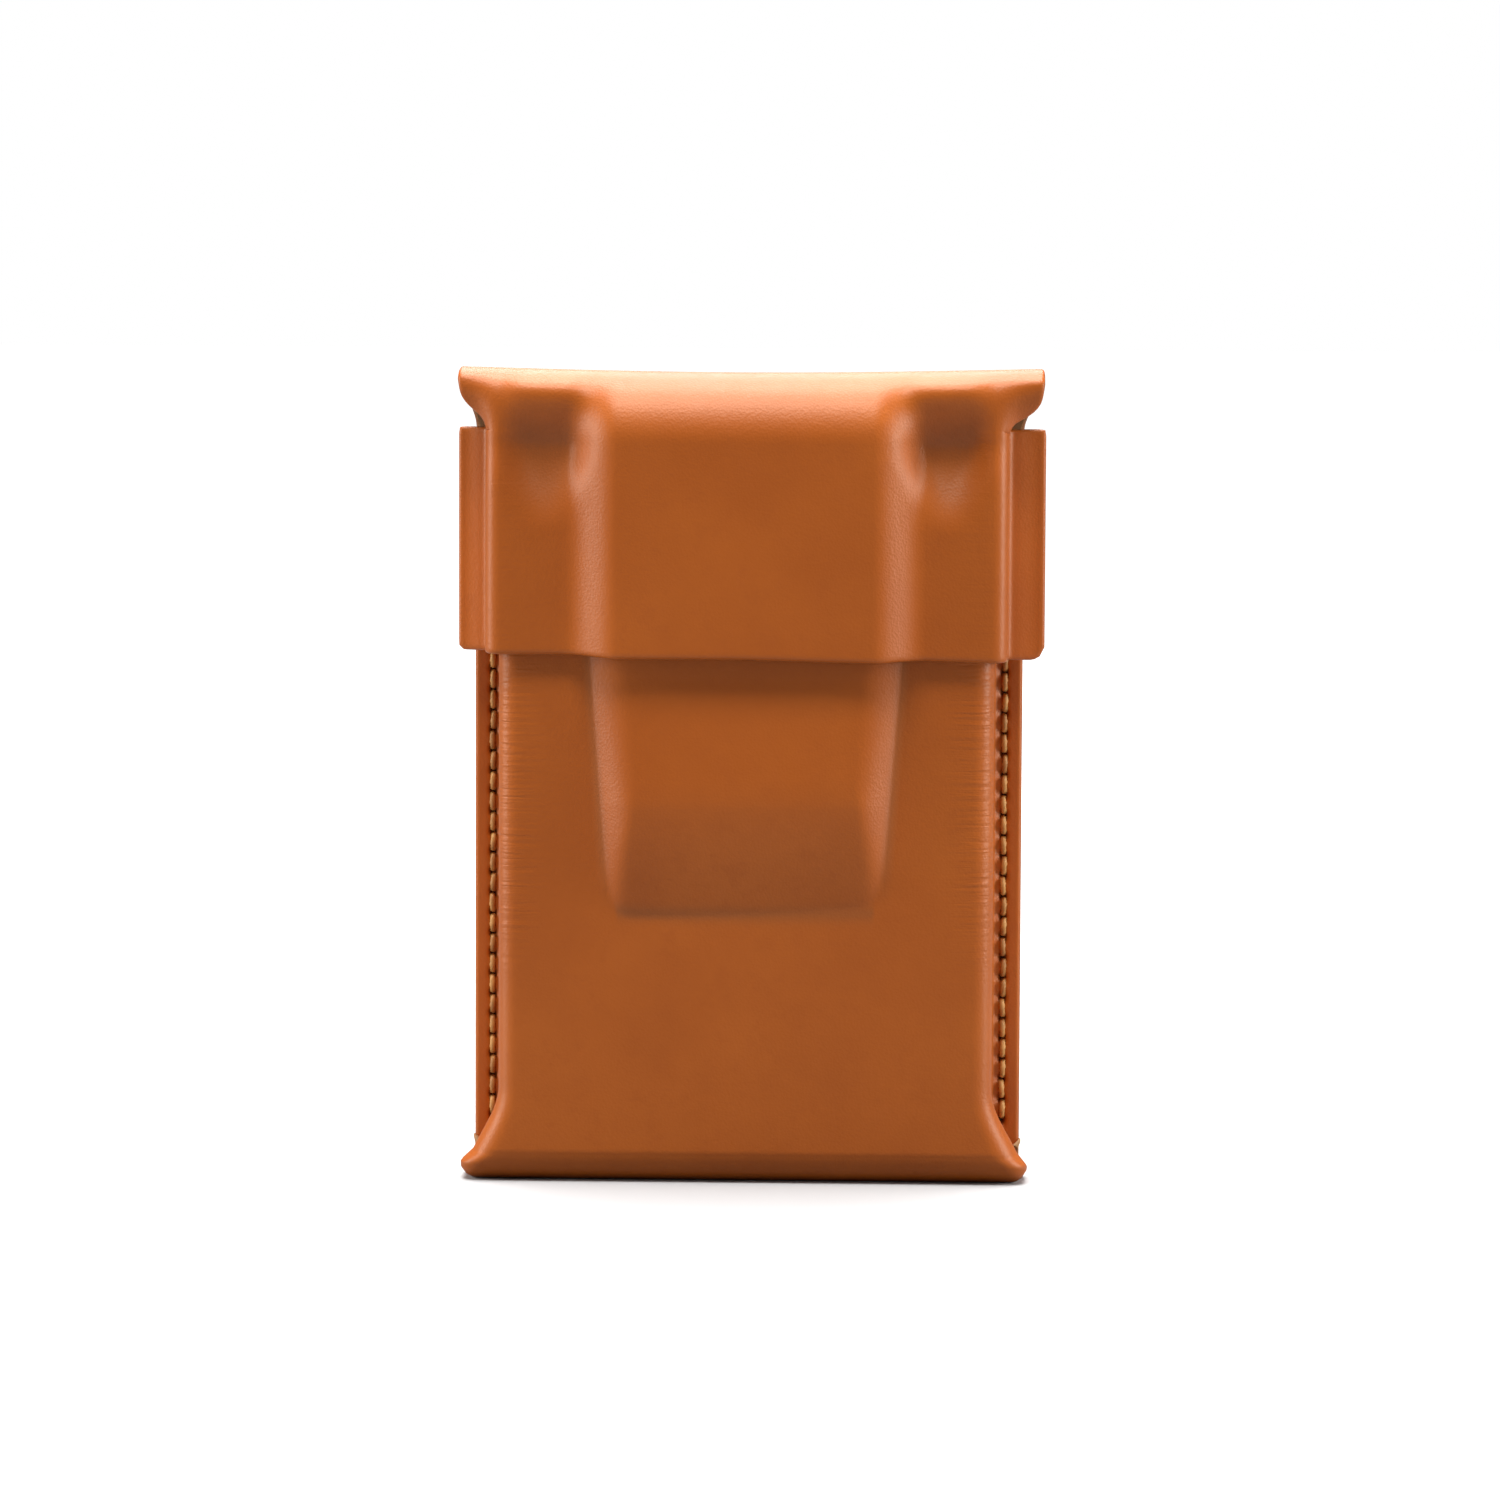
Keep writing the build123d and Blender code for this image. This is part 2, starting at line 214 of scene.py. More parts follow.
# The strip is shaped in millimetres. Its sizes come from the frame.
MM = 0.001
front_low, front_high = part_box("front_panel")
back_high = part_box("back_panel")[1]
flap_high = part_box("flap")[1]
THICKNESS = 1.3
BACK_Y = cad_high.y / MM
DEPTH = (cad_high.y - cad_low.y) / MM
HEIGHT = cad_high.z / MM
ROLL_RADIUS = DEPTH / 2
HINGE_Z = HEIGHT - ROLL_RADIUS
PANEL_TOP = front_high.z / MM
FLANGE_HALF = back_high.x / MM - 0.5
FOLD_HALF = front_high.x / MM
WING_HALF = {-1: flap_high.x / MM - 1.2, 1: flap_high.x / MM - 0.4}
BUMP_HEIGHT = 3.0
FACE_DEPTH = BACK_Y - front_low.y / MM - BUMP_HEIGHT
BOX_HALF = 28.8
FLANGE_DEPTH = 2 * THICKNESS
FOLD_SPLIT = FACE_DEPTH / 2


def smooth(t):
    """Rises from 0 to 1 with level ends."""
    t = np.clip(t, 0.0, 1.0)
    return t * t * (3 - 2 * t)


def run(start, end, count):
    """Evenly spaced values from start, leaving the end for the next run."""
    return start + (end - start) * np.arange(count) / count


def bent(lengths, first_bend, first_angle, wall, second_bend):
    """Half a cross-section: flat, bent back by first_angle, straight, bent forward again, flat.

    lengths are measured along the leather from the middle of the strip.
    """
    x = lengths.copy()
    n = np.zeros_like(lengths)
    start, length = first_bend
    angle = max(first_angle, 1e-4)
    radius = length / angle
    turn = np.clip((lengths - start) / length, 0, 1) * angle
    past = lengths > start
    along = np.clip(lengths - start - length, 0, wall)
    x[past] = (start + radius * np.sin(turn) + along * math.cos(angle))[past]
    n[past] = (radius * (1 - np.cos(turn)) + along * math.sin(angle))[past]
    beyond = lengths - start - length - wall
    back = np.clip(beyond / second_bend, 0, 1) * angle
    second_radius = second_bend / angle
    x += np.where(beyond > 0, second_radius * (math.sin(angle) - np.sin(angle - back)), 0)
    n += np.where(beyond > 0, second_radius * (np.cos(angle - back) - math.cos(angle)), 0)
    x += np.clip(beyond - second_bend, 0, None)
    return x, n


SEAM_X = 30.05
SEAM_LOW = 6.6
STITCH_PITCH = 2.4
STITCH_COUNT = 31
HOLE_WIDTH = 0.42
HOLE_DEPTH = 0.75


def seam_marks(x, z):
    """How deep the leather is pulled in at the awl holes and along the seam, and the hole mask."""
    step = (z - SEAM_LOW) / STITCH_PITCH
    nearest = np.clip(np.round(step), 0, STITCH_COUNT - 1)
    up = (step - nearest) * STITCH_PITCH
    across = np.abs(x) - SEAM_X
    hole = np.exp(-(((across / HOLE_WIDTH) ** 2 + (up / (1.25 * HOLE_WIDTH)) ** 2) ** 1.5))
    inside = (z > SEAM_LOW - 1) & (z < SEAM_LOW + STITCH_PITCH * (STITCH_COUNT - 1) + 1)
    groove = 0.12 * np.exp(-((across / 0.5) ** 2)) * inside
    return HOLE_DEPTH * hole + groove, hole


RIM_STEPS = 6
RIM_BULGE = 0.38


def make_strip(name, rows, joined_row, skip=()):
    """Turns rows of points into a closed leather mesh of even thickness with rounded cut edges.

    Each row is (points, lengths, along, dent, marks): places in mm, measured lengths for the
    pattern, how far the grain side is pressed in, and named 0 to 1 masks. Points that are NaN
    don't exist. joined_row is the row that meets the next panel and keeps its square edge.
    """
    points = np.array([row[0] for row in rows])
    exists = ~np.isnan(points[:, :, 0])
    number = np.cumsum(exists.ravel()).reshape(exists.shape) - 1
    corners = exists[:-1, :-1] & exists[1:, :-1] & exists[:-1, 1:] & exists[1:, 1:]
    for row, first, last in skip:
        corners[row, first:last] = False
    r, c = np.nonzero(corners)
    faces = np.stack([number[r, c], number[r + 1, c], number[r + 1, c + 1], number[r, c + 1]], 1)
    grain = points[exists] * MM
    skin = bpy.data.meshes.new(name + "_skin")
    skin.from_pydata(grain.tolist(), [], faces.tolist())
    normals = np.empty(len(grain) * 3, np.float32)
    skin.vertex_normals.foreach_get("vector", normals)
    normals = normals.reshape(-1, 3)
    bpy.data.meshes.remove(skin)

    dent = np.array([row[3] for row in rows])[exists]
    flesh = grain - normals * THICKNESS * MM
    grain = grain - normals * (dent * MM)[:, None]
    count = len(grain)
    edges = np.concatenate([faces[:, [i, (i + 1) % 4]] for i in range(4)])
    _, first_seen, uses = np.unique(
        np.sort(edges, 1), axis=0, return_index=True, return_counts=True
    )
    rim = edges[first_seen[uses == 1]]

    # Each cut edge is rounded: rings of points from the grain side round to the flesh side
    outward = np.zeros((count, 3))
    away = np.cross(grain[rim[:, 1]] - grain[rim[:, 0]], normals[rim[:, 0]])
    away /= np.linalg.norm(away, axis=1)[:, None]
    np.add.at(outward, rim[:, 0], away)
    np.add.at(outward, rim[:, 1], away)
    on_rim = np.unique(rim)
    outward = outward[on_rim] / np.linalg.norm(outward[on_rim], axis=1)[:, None]
    joined = number[joined_row][exists[joined_row]]
    outward[np.isin(on_rim, joined)] = 0.0
    rings, ring_flesh = [], []
    for step in range(1, RIM_STEPS):
        turn = math.pi * step / RIM_STEPS
        share = (1 - math.cos(turn)) / 2
        middle = grain[on_rim] * (1 - share) + flesh[on_rim] * share
        rings.append(middle + outward * (RIM_BULGE * MM * math.sin(turn)))
        ring_flesh.append(np.full(len(on_rim), 0.7 * share))
    of_rim = np.full(count, -1)
    of_rim[on_rim] = np.arange(len(on_rim))
    walls = []
    for step in range(RIM_STEPS):
        near, far = (
            rim if ring == 0
            else rim + count if ring == RIM_STEPS
            else of_rim[rim] + 2 * count + (ring - 1) * len(on_rim)
            for ring in (step, step + 1)
        )
        walls.append(np.stack([near[:, 1], near[:, 0], far[:, 0], far[:, 1]], 1))
    all_faces = np.concatenate([faces, faces[:, ::-1] + count, *walls])
    mesh = bpy.data.meshes.new(name)
    mesh.from_pydata(np.concatenate([grain, flesh, *rings]).tolist(), [], all_faces.tolist())

    def to_all(values, flesh_values):
        on_rings = [values[on_rim]] * (RIM_STEPS - 1)
        return np.concatenate([values, flesh_values, *on_rings])

    def add_mark(mark, values):
        attribute = mesh.attributes.new(mark, "FLOAT", "POINT")
        attribute.data.foreach_set("value", values.astype(np.float32))

    add_mark("flesh", np.concatenate([np.zeros(count), np.ones(count), *ring_flesh]))
    for mark in ("hole", "painted_shade", "wrinkle"):
        values = np.array([row[4].get(mark, np.zeros(points.shape[1])) for row in rows])[exists]
        add_mark(mark, to_all(values, np.zeros(count)))
    across = np.array([row[1] for row in rows])[exists]
    along = np.broadcast_to(np.array([row[2] for row in rows])[:, None], exists.shape)[exists]
    flat = np.stack([to_all(across, across), to_all(along, along)], 1)
    of_loop = np.empty(len(mesh.loops), np.int32)
    mesh.loops.foreach_get("vertex_index", of_loop)
    uv = mesh.uv_layers.new(name="strip")
    uv.data.foreach_set("uv", flat[of_loop].astype(np.float32).ravel())

    work = bmesh.new()
    work.from_mesh(mesh)
    bmesh.ops.recalc_face_normals(work, faces=work.faces)
    work.to_mesh(mesh)
    work.free()
    mesh.shade_smooth()
    mesh.set_sharp_from_angle(angle=math.radians(60))
    mesh.materials.append(leather)
    piece = bpy.data.objects.new(name, mesh)
    bpy.context.collection.objects.link(piece)
    return piece


def both_halves(left, right):
    """Joins a left and a right half-row, each counted from the middle, into one row."""
    return np.concatenate([left[:0:-1], right])


# --- Front panel --------------------------------------------------------------------------------
# The front half of the strip, pressed wet over a block: a flat box with round corners, a thumb
# relief that rises towards the opening, and stitched flanges. Below the seams the strip narrows,
# its edges roll outwards and it turns under into the bottom fold, with a slot at each corner.
RELIEF_RUN = 4.9
RELIEF_FOOT = 15.95
RELIEF_WIDENS = 2.35
RELIEF_WIDEN_RUN = 29.5
RELIEF_POWER = 3.0
FOOT_TILT = 0.05
FOOT_BOW = 0.0012
RELIEF_LOW = 31.6
RELIEF_LEVEL = 47.5
RELIEF_LEAN = 0.3
LEAN_EARLY = 3
LEAN_FULL = 62
PRESSED_DEPTH = 1.35
PRESSED_FROM = 5.5
PRESSED_RUN = 4.5
HOLLOW_X = 23.3
HOLLOW_EDGE = 4.8
HOLLOW_FLAT = 0.8
FACE_MARGIN = 2
FOOT_SHADE_WIDTH = 0.55
LOW_SHADE_WIDTH = 0.9
SHADE_FADE = 8
WRINKLE_INSIDE = 1.5
WRINKLE_WIDTH = 3.0
WRINKLE_FROM = 20
WRINKLE_RUN = 15
FLARE_TOP = 11.0
FLARE_WIDTH = FOLD_HALF - BOX_HALF
FLANGE_LOW = 3.6
FLANGE_CORNER = 0.6
BOX_RADIUS = 2.4
INNER_RADIUS = 0.9
WALL_RADIUS = 3.2
WALL_LEAN = 18
LOBE_FIRST_ANGLE = 104
LOBE_CLOSED = 0.6
LOBE_OUT = 0.3
LOBE_RADIUS = 1.9
LOBE_ANGLE = 82
LOBE_HALF = {-1: FOLD_HALF + 0.45, 1: FOLD_HALF + 0.1}
FOLD_RADIUS = 4.2
FOLD_STEPS = 32
BOTTOM_STEPS = 3
WALL_AND_FLANGE_COLUMNS = 27
FACE_Y = BACK_Y - FACE_DEPTH


def relief_half(z):
    """Half the width of the thumb relief at its foot."""
    return RELIEF_FOOT + RELIEF_WIDENS * np.clip((z - RELIEF_LOW) / RELIEF_WIDEN_RUN, -0.4, 1.0)


def relief(x, z, side):
    """Height of the thumb relief over the face: crisp at its foot and round at its shoulders."""
    wide = np.sin(np.clip((relief_half(z) - np.abs(x)) / RELIEF_RUN, 0, 1) * math.pi / 2)
    foot = RELIEF_LOW + FOOT_TILT * side * np.abs(x) + FOOT_BOW * x * x
    tall = np.sin(np.clip((z - foot) / (RELIEF_LEVEL - RELIEF_LOW), 0, 1) * math.pi / 2)
    short = (1 - wide) ** RELIEF_POWER + (1 - tall) ** RELIEF_POWER
    lean = 1 - RELIEF_LEAN * np.clip((z - RELIEF_LEVEL + LEAN_EARLY) / (LEAN_FULL - RELIEF_LEVEL), 0, 1)
    return np.clip(1 - short ** (1 / RELIEF_POWER), 0, 1) * lean


def pressed_in(x, z):
    """How far the flap's hollows press the pocket's top edge in."""
    wide = 1 - smooth((np.abs(np.abs(x) - HOLLOW_X) - HOLLOW_FLAT) / HOLLOW_EDGE)
    return PRESSED_DEPTH * wide * smooth((z - PANEL_TOP + PRESSED_FROM) / PRESSED_RUN)


def flare(z):
    """How much wider the box is at height z than above the corners."""
    return FLARE_WIDTH * float(smooth(1 - z / FLARE_TOP))


def lobe_bend(turned, side):
    """Start, length and angle of the bend that rolls the fold's end outwards and up."""
    close = float(smooth(turned / LOBE_CLOSED))
    radius = WALL_RADIUS + (LOBE_RADIUS - WALL_RADIUS) * close
    angle = math.radians(LOBE_FIRST_ANGLE + (LOBE_ANGLE - LOBE_FIRST_ANGLE) * close)
    t = min(turned / LOBE_OUT, 1.0)
    start = BOX_HALF + flare(FLANGE_LOW)
    reach = start + (LOBE_HALF[side] - start) * (t + t * t - t**3)
    return reach - radius * math.sin(min(angle, math.pi / 2)), radius * angle, angle


def front_half_row(z, turned, side):
    """One half-row of the front panel at height z, or turned some way (0 to 1) into the fold."""
    half = float(relief_half(z))
    spread = float(smooth((FLARE_TOP - z) / (FLARE_TOP - FLANGE_LOW)))
    if turned > 0:
        face, bend, angle = lobe_bend(turned, side)
    else:
        radius = BOX_RADIUS + (WALL_RADIUS - BOX_RADIUS) * spread
        angle = math.radians(90 + WALL_LEAN * spread)
        face, bend = BOX_HALF + flare(z) - radius, radius * angle
    lengths = np.concatenate([
        run(0, half - RELIEF_RUN, 14),
        run(half - RELIEF_RUN, half, 12),
        run(half, face, 10),
        run(face, face + bend, 10),
    ])
    if turned > 0:
        lengths = np.concatenate([lengths, [face + bend]])
        x, n = bent(lengths, (face, bend), angle, 0.0, 1.0)
        gone = np.full(WALL_AND_FLANGE_COLUMNS, np.nan)
        return np.concatenate([x, gone]), np.concatenate([n, gone]), np.concatenate([lengths, gone])
    span = FACE_DEPTH - FLANGE_DEPTH
    wall = (span - (radius + INNER_RADIUS) * (1 - math.cos(angle))) / math.sin(angle)
    inner_bend = INNER_RADIUS * angle
    base = face + bend + wall
    edge = bent(np.array([base + inner_bend]), (face, bend), angle, wall, inner_bend)[0][0]
    seam_inside = base + inner_bend
    seam_outside = seam_inside + max(SEAM_X + 0.7 - edge, 0.2)
    end = seam_inside + FLANGE_HALF - edge
    if z < FLANGE_LOW + FLANGE_CORNER:
        rise = FLANGE_LOW + FLANGE_CORNER - z
        end -= FLANGE_CORNER - math.sqrt(max(FLANGE_CORNER**2 - rise**2, 0))
    seam_outside = min(seam_outside, end - 0.2)
    lengths = np.concatenate([
        lengths,
        run(face + bend, base, 10),
        run(base, seam_inside, 6),
        run(seam_inside, seam_outside, 6),
        run(seam_outside, end, 5),
        [end],
    ])
    x, n = bent(lengths, (face, bend), angle, wall, inner_bend)
    return x, n, lengths


front_rows = []
straight_heights = np.concatenate([
    np.arange(PANEL_TOP, FLANGE_LOW, -STITCH_PITCH / 6),
    [FLANGE_LOW],
])
fold_length = FOLD_RADIUS * math.pi / 2
free_length = FLANGE_LOW - FOLD_RADIUS + fold_length
stations = [(z, 0.0, FACE_Y, z, (-1.0, 0.0)) for z in straight_heights]
for step in range(1, FOLD_STEPS + 1):
    gone = free_length * step / FOLD_STEPS
    into_fold = gone - (FLANGE_LOW - FOLD_RADIUS)
    a = max(into_fold, 0.0) / FOLD_RADIUS
    lean = a * float(smooth((gone / free_length - 0.2) / 0.7))
    inward = (-math.cos(lean), -math.sin(lean))
    y = FACE_Y + FOLD_RADIUS - FOLD_RADIUS * math.cos(a)
    z = FOLD_RADIUS - FOLD_RADIUS * math.sin(a) - min(into_fold, 0.0)
    stations.append((FLANGE_LOW - gone, gone / free_length, y, z, inward))
bottom_run = FOLD_SPLIT - (FACE_DEPTH - FOLD_RADIUS)
for step in range(1, BOTTOM_STEPS + 1):
    y = FACE_Y + FOLD_RADIUS - bottom_run * step / BOTTOM_STEPS
    stations.append((FLANGE_LOW - free_length - step, 1.0, y, 0.0, (0.0, -1.0)))

for level, turned, y, z, inward in stations:
    halves = [front_half_row(level, turned, side) for side in (-1, 1)]
    x = both_halves(-halves[0][0], halves[1][0])
    n = both_halves(halves[0][1], halves[1][1])
    lengths = both_halves(-halves[0][2], halves[1][2])
    on_face = np.abs(x) < BOX_HALF - FACE_MARGIN
    height = relief(x, level, np.sign(x)) * BUMP_HEIGHT * on_face * (turned == 0)
    n = n - height + pressed_in(x, level)
    points = np.stack([x, y - n * inward[0], z - n * inward[1]], 1)
    on_flange = n > FACE_DEPTH - FLANGE_DEPTH - 0.2
    pull, hole = seam_marks(x, np.full_like(x, level))
    # Painted shade: a dark line along the sides of the thumb relief's foot, fading in over its lowest
    # part, and another along its lower edge
    foot = np.exp(-((np.abs(x) - relief_half(level)) / FOOT_SHADE_WIDTH) ** 2) * (level > RELIEF_LOW)
    below = level - RELIEF_LOW - FOOT_BOW * x * x
    under = np.exp(-((below / LOW_SHADE_WIDTH) ** 2)) * (np.abs(x) < relief_half(level) - 1)
    marks = {
        "hole": np.nan_to_num(hole * on_flange),
        "painted_shade": np.nan_to_num(np.maximum(foot * smooth((level - RELIEF_LOW) / SHADE_FADE), under)),
        "wrinkle": np.nan_to_num(
            np.exp(-((np.abs(lengths) - BOX_HALF + WRINKLE_INSIDE) / WRINKLE_WIDTH) ** 2)
            * smooth((level - WRINKLE_FROM) / WRINKLE_RUN)
        ),
    }
    dent = np.nan_to_num(pull * on_flange)
    front_rows.append((points, lengths, level, dent, marks))

front_leather = make_strip("front_leather", front_rows, joined_row=len(front_rows) - 1)
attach(front_leather, "pouch")
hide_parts("front_panel")


# --- Back panel and flap ------------------------------------------------------------------------
# The rest of the strip: up the flat back, over the top in a full roll, and down as a flap that was
# pressed over the stuffed holder. A slit each side lets the roll's ends spread while the leather
# below turns back as the side walls and out again as the wings.
BACK_FOLD_RADIUS = 2.2
ROLL_HALF = {-1: 33.1, 1: 34.0}
FLAP_LOW = 62.2
FLAP_FACE = 28.45
FLAP_RADIUS = 1.8
FLAP_INNER_RADIUS = 0.8
FLAP_BEND = FLAP_RADIUS * math.pi / 2
FLAP_INNER_BEND = FLAP_INNER_RADIUS * math.pi / 2
SIDE_DROP = 3.0
WING_FORWARD = 6.85
WING_DROP = DEPTH - WING_FORWARD
WING_CURL = 1.0
SLIT_Z = 88.1
PLATEAU_HALF = 14.6
SHOULDER = 6.2
HOLLOW = {-1: 4.9, 1: 5.5}
SAG = 0.55
WING_CORNERS = {-1: 0.3, 1: 1.2}
RAISED_DROP = 0.3
RIGHT_LOW = 0.8
FLARE_TRAVEL = {-1: 9.0, 1: 8.0}
FLARE_RUN = 7.2
ROLL_WAIST = 31.7
WAIST_LATE = 2.0
WAIST_RUN = 4.4
SPREAD_FROM = 1.0
SPREAD_RUN = 7.0
ROLL_STEPS = 56
SAG_FROM = 4
SAG_RUN = 8
SETTLE_RUN = 7
EDGE_DROP_FROM = 8
EDGE_DROP_RUN = 17.0
FLAP_WRINKLE = 0.25
NO_SECOND_BEND = 50.0
WALL_AND_WING_COLUMNS = 24
SAG_HALF = 33.5
FALL_FROM, FALL_RUN = 12.0, 11.0
HOLLOW_FROM, HOLLOW_RUN = 8.4, 9.4
HOLLOW_LOW, HOLLOW_LOW_RUN = -1.6, 9.0
HOLLOW_REACH = 6.8
HOLLOW_NARROWS = 2.2
MIDDLE_COLUMNS = 14
SHOULDER_COLUMNS = 14
SIDE_COLUMNS = 10
BEND_COLUMNS = 8


def flap_bend(travel, side):
    """Angle of the side bend, from how far the leather still is above the roll's front (mm)."""
    t = np.clip((FLARE_TRAVEL[side] - travel) / FLARE_RUN, 0, 1)
    return math.radians(90) * float(0.5 * t + 0.5 * smooth(t))


def side_drop(travel, x, side):
    """How far the leather beside the raised middle lies behind it, deepest under the roll."""
    fall = SIDE_DROP * smooth((FALL_FROM - travel) / FALL_RUN)
    depth = HOLLOW[side]
    hollow = depth * smooth((HOLLOW_FROM - travel) / HOLLOW_RUN)
    hollow = hollow - (depth - SIDE_DROP) * smooth((HOLLOW_LOW - travel) / HOLLOW_LOW_RUN)
    reach = HOLLOW_REACH - HOLLOW_NARROWS * smooth(-travel / HOLLOW_LOW_RUN)
    wide = 1 - smooth((np.abs(x - HOLLOW_X) - reach + HOLLOW_EDGE) / HOLLOW_EDGE)
    return fall * (1 - wide) + hollow * wide


def back_half_row(place, travel, side, lobe=0.0):
    """One half-row. place is "back" below the roll, "roll" over it and "flap" below the slits."""
    if place == "flap":
        drop = float(side_drop(travel, np.array(FLAP_FACE), side))
        wall = WING_DROP - drop - FLAP_RADIUS - FLAP_INNER_RADIUS
        base = FLAP_FACE + FLAP_BEND + wall
        wing = WING_HALF[side] - (FLAP_FACE + FLAP_RADIUS + FLAP_INNER_RADIUS)
        end = base + FLAP_INNER_BEND + wing
        lengths = np.concatenate([
            run(0, PLATEAU_HALF, MIDDLE_COLUMNS),
            run(PLATEAU_HALF, PLATEAU_HALF + SHOULDER, SHOULDER_COLUMNS),
            run(PLATEAU_HALF + SHOULDER, FLAP_FACE, SIDE_COLUMNS),
            run(FLAP_FACE, FLAP_FACE + FLAP_BEND, BEND_COLUMNS),
            run(FLAP_FACE + FLAP_BEND, base, 18),
            run(base, base + FLAP_INNER_BEND, 6),
            run(base + FLAP_INNER_BEND, end, 8),
            [end],
        ])
        x, n = bent(lengths, (FLAP_FACE, FLAP_BEND), math.pi / 2, wall, FLAP_INNER_BEND)
        return x, n, lengths
    wide = float(smooth((travel - SPREAD_FROM) / SPREAD_RUN)) if place == "back" else 1.0
    half = FLANGE_HALF + (ROLL_HALF[side] - FLANGE_HALF) * wide
    if place == "roll":
        waist = float(smooth((FLARE_TRAVEL[side] - WAIST_LATE - travel) / WAIST_RUN))
        half -= (ROLL_HALF[side] - ROLL_WAIST) * waist
    if lobe > 0:
        face, bend, angle = lobe_bend(1.0, side)
        half = FLANGE_HALF + (face + bend - FLANGE_HALF) * lobe
    seam_start = SEAM_X - 0.7 + (FLAP_FACE - SEAM_X + 0.7) * wide
    seam_end = SEAM_X + 0.7 + (FLAP_FACE + FLAP_BEND - SEAM_X - 0.7) * wide
    lengths = np.concatenate([
        run(0, PLATEAU_HALF, MIDDLE_COLUMNS),
        run(PLATEAU_HALF, PLATEAU_HALF + SHOULDER, SHOULDER_COLUMNS),
        run(PLATEAU_HALF + SHOULDER, seam_start, SIDE_COLUMNS),
        run(seam_start, seam_end, BEND_COLUMNS),
        run(seam_end, half, 8),
        [half],
    ])
    if lobe > 0:
        x, n = bent(lengths, (face, bend), angle * lobe, NO_SECOND_BEND, 1.0)
    else:
        angle = flap_bend(travel, side) if place == "roll" else 0.0
        x, n = bent(lengths, (FLAP_FACE, FLAP_BEND), angle, NO_SECOND_BEND, 1.0)
    gone = np.full(WALL_AND_WING_COLUMNS, np.nan)
    return np.concatenate([x, gone]), np.concatenate([n, gone]), np.concatenate([lengths, gone])


back_stations = []
for y in np.linspace(FOLD_SPLIT, BACK_FOLD_RADIUS, 9)[:-1]:
    back_stations.append(("back", -50.0, BACK_Y - y, 0.0, (0.0, -1.0), -(y + 2.0)))
for step in range(9):
    a = math.pi / 2 * step / 8
    out = (math.sin(a), -math.cos(a))
    y = BACK_Y - BACK_FOLD_RADIUS + BACK_FOLD_RADIUS * out[0]
    z = BACK_FOLD_RADIUS + BACK_FOLD_RADIUS * out[1]
    back_stations.append(("back", -50.0, y, z, out, z))
low = SEAM_LOW - STITCH_PITCH
for z in np.arange(low, HINGE_Z - 0.3, STITCH_PITCH / 6):
    back_stations.append(("back", z - HINGE_Z, BACK_Y, z, (1.0, 0.0), z))
arc_end = math.pi - math.asin((SLIT_Z - HINGE_Z) / ROLL_RADIUS)
for step in range(ROLL_STEPS + 1):
    a = arc_end * step / ROLL_STEPS
    out = (math.cos(a), math.sin(a))
    place = "back" if a < math.pi / 2 else "roll"
    travel = ROLL_RADIUS * (a if place == "back" else math.pi - a)
    y, z = ROLL_RADIUS * out[0], HINGE_Z + ROLL_RADIUS * out[1]
    back_stations.append((place, travel, y, z, out, HINGE_Z + ROLL_RADIUS * a))
last_roll = len(back_stations) - 1
arc_rest = math.pi - arc_end
for step in range(1, 4):
    a = arc_end + arc_rest * step / 3
    out = (math.cos(a), math.sin(a))
    y, z = ROLL_RADIUS * out[0], HINGE_Z + ROLL_RADIUS * out[1]
    back_stations.append(("flap", ROLL_RADIUS * (math.pi - a), y, z, out, HINGE_Z + ROLL_RADIUS * a))
flap_end = HINGE_Z + ROLL_RADIUS * math.pi
for z in np.linspace(HINGE_Z, FLAP_LOW, 60)[1:]:
    travel = z - HINGE_Z
    back_stations.append(("flap", travel, -ROLL_RADIUS, z, (-1.0, 0.0), flap_end - travel))

